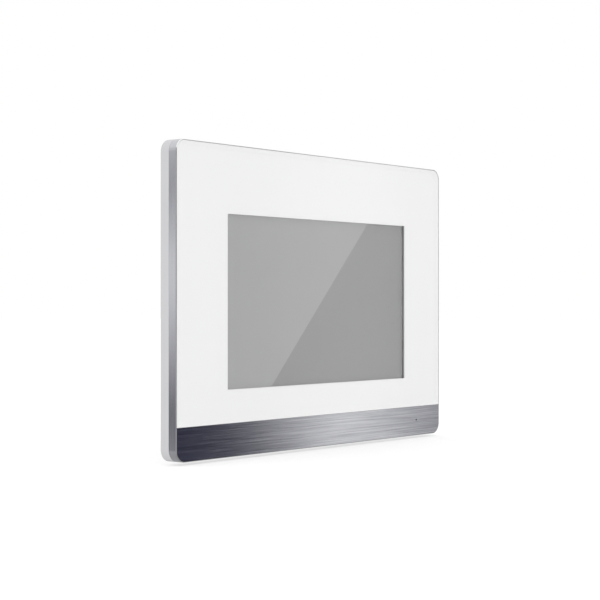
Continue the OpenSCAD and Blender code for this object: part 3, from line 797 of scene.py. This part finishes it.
def rear_cover():
    b = Builder()
    box = rectangle(BOX_W, BOX_H, BOX_R, steps=ARC)
    inside = rectangle(BOX_W - 2 * WALL, BOX_H - 2 * WALL, BOX_R - WALL, steps=ARC)
    pocket_h = POCKET_TOP - POCKET_LOW
    pocket = rectangle(POCKET_W, pocket_h, 3, (0, (POCKET_TOP + POCKET_LOW) / 2))
    inner_y = BACK_Y - WALL

    # band, fillet and the raised box's walls
    box_in = [b.ring(inside, FLANGE_Y - FLANGE_T), b.ring(inside, inner_y)]
    flange = cover_band(b, box_in[0])
    fillet_r = 0.5
    quarter = [math.pi / 2 * k / 3 for k in range(4)]
    fillet = [b.ring(box, FLANGE_Y + fillet_r * (1 - math.cos(a)), fillet_r * (1 - math.sin(a)))
              for a in quarter]
    rim = b.rounded(box, BACK_Y, 1.0, -1, steps=4)
    lower = 3 * (ARC + 1) - 1          # the point where the lower straight stretch begins
    b.flat(flange, fillet[0])
    b.wall(*fillet)
    b.wall(fillet[-1], rim[0], skip=lower)
    b.wall(*rim)
    b.wall(*box_in, skip=lower)

    # windows for the memory card and the power switch
    floor_out, floor_in = -BOX_H / 2, -BOX_H / 2 + WALL
    card_x = (CARD_LOW.x + CARD_HIGH.x) / 2
    knob_x = (KNOB_LOW.x + KNOB_HIGH.x + KNOB_TRAVEL) / 2
    windows = [window_in_floor(b, card_x, CARD_WINDOW_W, CARD_LOW.y - 0.35, CARD_HIGH.y + 0.35,
                               floor_out, floor_in),
               window_in_floor(b, knob_x, KNOB_WINDOW_W, KNOB_LOW.y - 0.5, KNOB_HIGH.y + 0.5,
                               floor_out, floor_in)]
    for index, (a, c) in enumerate(((fillet[-1], rim[0]), box_in)):     # outside, then inside
        panel = [a[lower], a[lower + 1], c[lower + 1], c[lower]]
        b.flat(panel, *(loops[index] for loops in windows))

    # openings in the back face
    grille = [slot(2 * math.sqrt(GRILLE_R ** 2 - (i * GRILLE_PITCH) ** 2), GRILLE_SLOT_W,
                   (SPEAKER_X + i * GRILLE_PITCH, 0), upright=True) for i in range(-3, 4)]
    vents = [slot(*VENT_SIZE, (side * VENT_X, z)) for side in (-1, 1) for z in VENT_ROWS]
    grille_holes = [b.hole(shape, BACK_Y, inner_y, 0.25) for shape in grille]
    vent_holes = [b.hole(shape, BACK_Y, inner_y, 0.25) for shape in vents]
    well_mouths, bosses = [], []
    for place in COVER_SCREWS:
        mouth, floor = b.hole(disc(WELL_R, place), BACK_Y, WELL_Y, 0.3)
        shank, shank_end = b.hole(disc(SHANK_HOLE_R, place), WELL_Y, WELL_Y - WALL, 0.1)
        boss = [b.ring(disc(BOSS_R, place), y) for y in (inner_y, WELL_Y - WALL)]
        b.flat(floor, shank)
        b.wall(*boss)
        b.flat(boss[-1], shank_end)
        well_mouths.append(mouth)
        bosses.append(boss[0])

    # pocket for the bracket, with its slots, plug window and reset hole
    mouth = b.rounded(pocket, BACK_Y, 0.5, -1, hole=True)
    floor = b.ring(pocket, POCKET_Y)
    b.wall(floor, *mouth)
    cuts = [rectangle(*HOOK_SLOT, 0.5, (side * HOOK_X, top - HOOK_SLOT[1] / 2))
            for side in (-1, 1) for top in HOOK_TOPS]
    socket_z = (SOCKET_LOW.z + SOCKET_HIGH.z) / 2
    plug_window_w = SOCKET_HIGH.x - SOCKET_LOW.x + 8
    reset_at = ((RESET_LOW.x + RESET_HIGH.x) / 2, (RESET_LOW.z + RESET_HIGH.z) / 2)
    cuts.append(rectangle(plug_window_w, PLUG_WINDOW_H, 0.6, (0, socket_z)))
    cuts.append(disc(RESET_HOLE_R, reset_at, 20))
    cut_loops = [b.hole(shape, POCKET_Y, POCKET_Y - WALL, 0.2) for shape in cuts]
    b.flat(floor, *(m for m, _ in cut_loops))
    block = [b.ring(pocket, POCKET_Y - WALL, WALL), b.ring(pocket, inner_y, WALL)]
    b.flat(block[0], *(end for _, end in cut_loops))
    b.wall(*block)

    # the speaker's ring, and the two sides of the back wall
    ring_y = inner_y - SPEAKER_RING_D
    ring_in = disc(SPEAKER_R, (SPEAKER_X, 0), 48)
    ring_out = disc(SPEAKER_R + SPEAKER_RING_T, (SPEAKER_X, 0), 48)
    ring = [b.ring(ring_out, inner_y), b.ring(ring_out, ring_y),
            b.ring(ring_in, ring_y), b.ring(ring_in, inner_y)]
    b.wall(*ring)
    b.flat(ring[-1], *(end for _, end in grille_holes))
    b.flat(box_in[1], block[1], ring[0], *bosses, *(end for _, end in vent_holes))
    b.flat(rim[-1], mouth[-1], *well_mouths, *(m for m, _ in grille_holes + vent_holes))
    b.piece("back_shell", "rear_cover")


def bumper_pads():
    b = Builder()
    radius = 4.0
    dent_r, dent_d = 1.5, 0.8
    for x in (BUMPER_LOW.x + radius, BUMPER_HIGH.x - radius):
        for z in (BUMPER_LOW.z + radius, BUMPER_HIGH.z - radius):
            foot = b.ring(disc(radius, (x, z)), BUMPER_LOW.y)
            edge = b.rounded(disc(radius, (x, z)), BUMPER_HIGH.y, 0.5, -1, steps=4)
            dent, dent_floor = b.hole(disc(dent_r, (x, z)), BUMPER_HIGH.y, BUMPER_HIGH.y - dent_d, 0.2)
            b.flat(foot)
            b.wall(foot, *edge)
            b.flat(edge[-1], dent)
            b.flat(dent_floor)
    b.piece("bumper_pads", "rear_bumpers")


# ---- Screws --------------------------------------------------------------------


def screws(name, node, places, seat_y, shank_r, length, head_r, head_t):
    """Pan-head screws with a cross recess, turned ridges for the thread and a pointed end."""
    b = Builder()
    pitch, ridge = 0.6, 0.2
    recess_r, recess_w, recess_d = 1.3, 0.6, 0.9
    ridges = int((length - pitch) / pitch)
    for place in places:
        head = disc(head_r, place)
        core = disc(shank_r, place, 24)
        top = b.rounded(head, seat_y + head_t, 0.6, -1, steps=4)
        seat = b.ring(head, seat_y)
        recess = cross(recess_r, recess_w, place)
        cut, cut_floor = b.hole(recess, seat_y + head_t, seat_y + head_t - recess_d, 0.05)
        thread = [b.ring(core, seat_y)]
        for k in range(ridges):
            y = seat_y - pitch * k
            thread += [b.ring(core, y - 0.15 * pitch), b.ring(core, y - 0.5 * pitch, -ridge)]
        end_y = seat_y - length
        tip = [b.ring(core, end_y + 0.5, -0.15), b.ring(core, end_y, -0.6 * shank_r)]
        b.wall(seat, *top)
        b.flat(top[-1], cut)
        b.flat(cut_floor)
        b.flat(seat, thread[0])
        b.wall(*thread, *tip)
        b.flat(tip[-1])
    b.piece(name, node)


# ---- Wall bracket --------------------------------------------------------------


def hook_profile(top, finger_y):
    """Points (y, z) of a hook: a leg out of the sheet and a finger bent up from it."""
    leg_t, outer_r, inner_r = 1.4, 1.6, 0.4
    front_y = finger_y - BRACKET_T
    outer = [(front_y + outer_r * (1 - math.sin(a)), top - leg_t + outer_r * (1 - math.cos(a)))
             for a in (math.pi / 2 * k / 5 for k in range(6))]
    inner = [(finger_y + inner_r * (1 - math.cos(a)), top + inner_r * (1 - math.sin(a)))
             for a in (math.pi / 2 * k / 3 for k in range(4))]
    tip = [(front_y, top + FINGER_H - 0.4), (front_y + 0.3, top + FINGER_H),
           (finger_y - 0.3, top + FINGER_H), (finger_y, top + FINGER_H - 0.4)]
    return [(-BRACKET_T + 0.1, top - leg_t), *outer, *tip, *inner, (-BRACKET_T + 0.1, top)]


def wall_bracket():
    b = Builder()
    sheet = rectangle(BRACKET_W, BRACKET_H, BRACKET_R, steps=8)
    corner_x, corner_z = CORNER_HOLE_AT
    holes = [rectangle(*CABLE_WINDOW, (0, side * CABLE_WINDOW_Z)) for side in (-1, 1)]
    holes += [slot(*BOX_SLOT, (side * BOX_SLOT_X, 0)) for side in (-1, 1)]
    holes += [disc(CORNER_HOLE_R, (x, z)) for x in (-corner_x, corner_x) for z in (-corner_z, corner_z)]
    holes += [rectangle(*HOOK_HOLE, 0.4, (side * HOOK_X, top + HOOK_HOLE[1] / 2))
              for side in (-1, 1) for top in HOOK_TOPS]
    loops = [b.hole(shape, -BRACKET_T, 0, 0.12) for shape in holes]
    front = b.rounded(sheet, -BRACKET_T, 0.15, 1, steps=2)
    back = b.rounded(sheet, 0, 0.15, -1, steps=2)
    b.wall(*reversed(front), *back)
    b.flat(front[-1], *(mouth for mouth, _ in loops))
    b.flat(back[-1], *(end for _, end in loops))
    edge_x, flange_z = BRACKET_W / 2, BRACKET_H / 2 - 6
    root_y, tip_y = -BRACKET_T + 0.1, -BRACKET_T - FLANGE_D
    for side in (-1, 1):
        outline = [(side * (edge_x - BRACKET_T), root_y), (side * edge_x, root_y),
                   (side * edge_x, tip_y + 0.2), (side * (edge_x - 0.2), tip_y),
                   (side * (edge_x - BRACKET_T + 0.2), tip_y),
                   (side * (edge_x - BRACKET_T), tip_y + 0.2)]
        b.prism([(x, y, -flange_z) for x, y in outline], [(x, y, flange_z) for x, y in outline])
        for top in HOOK_TOPS:
            profile = hook_profile(top, POCKET_Y - WALL - 0.2)
            b.prism([(side * HOOK_X - HOOK_W / 2, y, z) for y, z in profile],
                    [(side * HOOK_X + HOOK_W / 2, y, z) for y, z in profile])
    b.piece("bracket_sheet", "wall_bracket")


metal_frame()
cover_glass()
printed_border()
display_cell()
rear_cover()
bumper_pads()
screws("case_screws", "cover_screws", COVER_SCREWS, WELL_Y,
       shank_r=1.45, length=6.4, head_r=2.6, head_t=1.9)
SMALL_HEAD_T = 1.4
CHASSIS_SEAT_Y = box_mm("chassis_screws")[1].y - SMALL_HEAD_T
PCB_SEAT_Y = box_mm("pcb_screws")[1].y - SMALL_HEAD_T
screws("frame_screws", "chassis_screws", CHASSIS_SCREWS, CHASSIS_SEAT_Y,
       shank_r=1.2, length=3.6, head_r=2.3, head_t=SMALL_HEAD_T)
screws("board_screws", "pcb_screws", PCB_SCREWS, PCB_SEAT_Y,
       shank_r=1.2, length=3.8, head_r=2.3, head_t=SMALL_HEAD_T)
wall_bracket()

# The nodes that no piece replaces are carried over with materials of their own.
for node, piece in NODES.items():
    if not piece.hide_render:
        piece.data.materials.clear()
        piece.data.materials.append(LOOKS[SLOT_OF[node]])

# ---- Floor, light and world ----------------------------------------------------


def make_floor():
    """A pale floor just under the object. It doesn't show from below."""
    mesh = bpy.data.meshes.new("floor")
    half = 6.0
    z = CAD_BOUNDS[0][2] - 1.5 * MM
    corners = [(-half, -half, z), (half, -half, z), (half, half, z), (-half, half, z)]
    mesh.from_pydata(corners, [], [(0, 1, 2, 3)])
    m = Material("floor", roughness=0.9, base_color=(0.42, 0.42, 0.42, 1), specular=0.0)
    m.shader.inputs["Emission Color"].default_value = (1, 1, 1, 1)
    m.shader.inputs["Emission Strength"].default_value = 0.58
    behind = m.add("ShaderNodeNewGeometry").outputs["Backfacing"]
    m.see_through(m.math("SUBTRACT", 1.0, behind), grey(1.0))
    mesh.materials.append(m.mat)
    floor = bpy.data.objects.new("floor", mesh)
    bpy.context.scene.collection.objects.link(floor)
    floor.visible_glossy = False


# What polished surfaces see. In front of the object the brightness goes by the angle to the
# side, in degrees, and behind it by height, in degrees.
IN_FRONT = [(-90, 0.42), (-45, 0.3), (0, 0.34), (30, 0.3), (42, 0.03), (49.2, 0.03), (50.6, 0.13),
            (52.4, 0.72), (53.6, 0.96), (54.8, 0.88), (56.6, 0.4), (62, 0.28), (75, 0.6), (90, 0.8)]
BEHIND = [(-20, 0.5), (-9, 0.42), (-5.4, 0.37), (-4.2, 0.165), (-2.8, 0.385), (-1.3, 0.64), (0.3, 0.9),
          (1.6, 0.95), (3.1, 0.665), (4.5, 0.43), (5.8, 0.72), (9, 0.8), (20, 0.8)]
SKY = 1.0
GROUND_IN_FRONT = 0.22
GROUND_BEHIND = 0.46
SOFT_LIGHT = 1.22                      # brightness of the studio for matt surfaces


def make_world():
    world = bpy.data.worlds.new("studio")
    bpy.context.scene.world = world
    world.use_nodes = True
    world.node_tree.nodes.clear()
    w = Tree(world.node_tree)
    x, y, z = w.axes(w.add("ShaderNodeTexCoord").outputs["Generated"])
    degrees = 180 / math.pi
    sideways = w.math("MULTIPLY", w.math("ARCSINE", x), degrees)
    height = w.math("MULTIPLY", w.math("ARCSINE", z), degrees)
    front = w.ramp(sideways, IN_FRONT)
    back = w.ramp(height, BEHIND)
    behind = w.span(y, 0.1, 0.4, 0.0, 1.0, smooth=True)
    around = w.blend(behind, front, back)
    steep = w.span(w.math("ABSOLUTE", z), 0.28, 0.6, 0.0, 1.0, smooth=True)
    ground = w.blend(behind, grey(GROUND_IN_FRONT), grey(GROUND_BEHIND))
    above_or_below = w.blend(w.math("GREATER_THAN", z, 0.0), ground, grey(SKY))
    polished = w.blend(steep, around, above_or_below)
    ray = w.add("ShaderNodeLightPath").outputs
    matt_or_camera = w.blend(ray["Is Camera Ray"], grey(SOFT_LIGHT), grey(1.0))
    colour = w.blend(ray["Is Glossy Ray"], matt_or_camera, polished)
    background = w.add("ShaderNodeBackground", {"Color": colour, "Strength": 1.0})
    w.add("ShaderNodeOutputWorld", {"Surface": background.outputs[0]})


make_floor()
make_world()
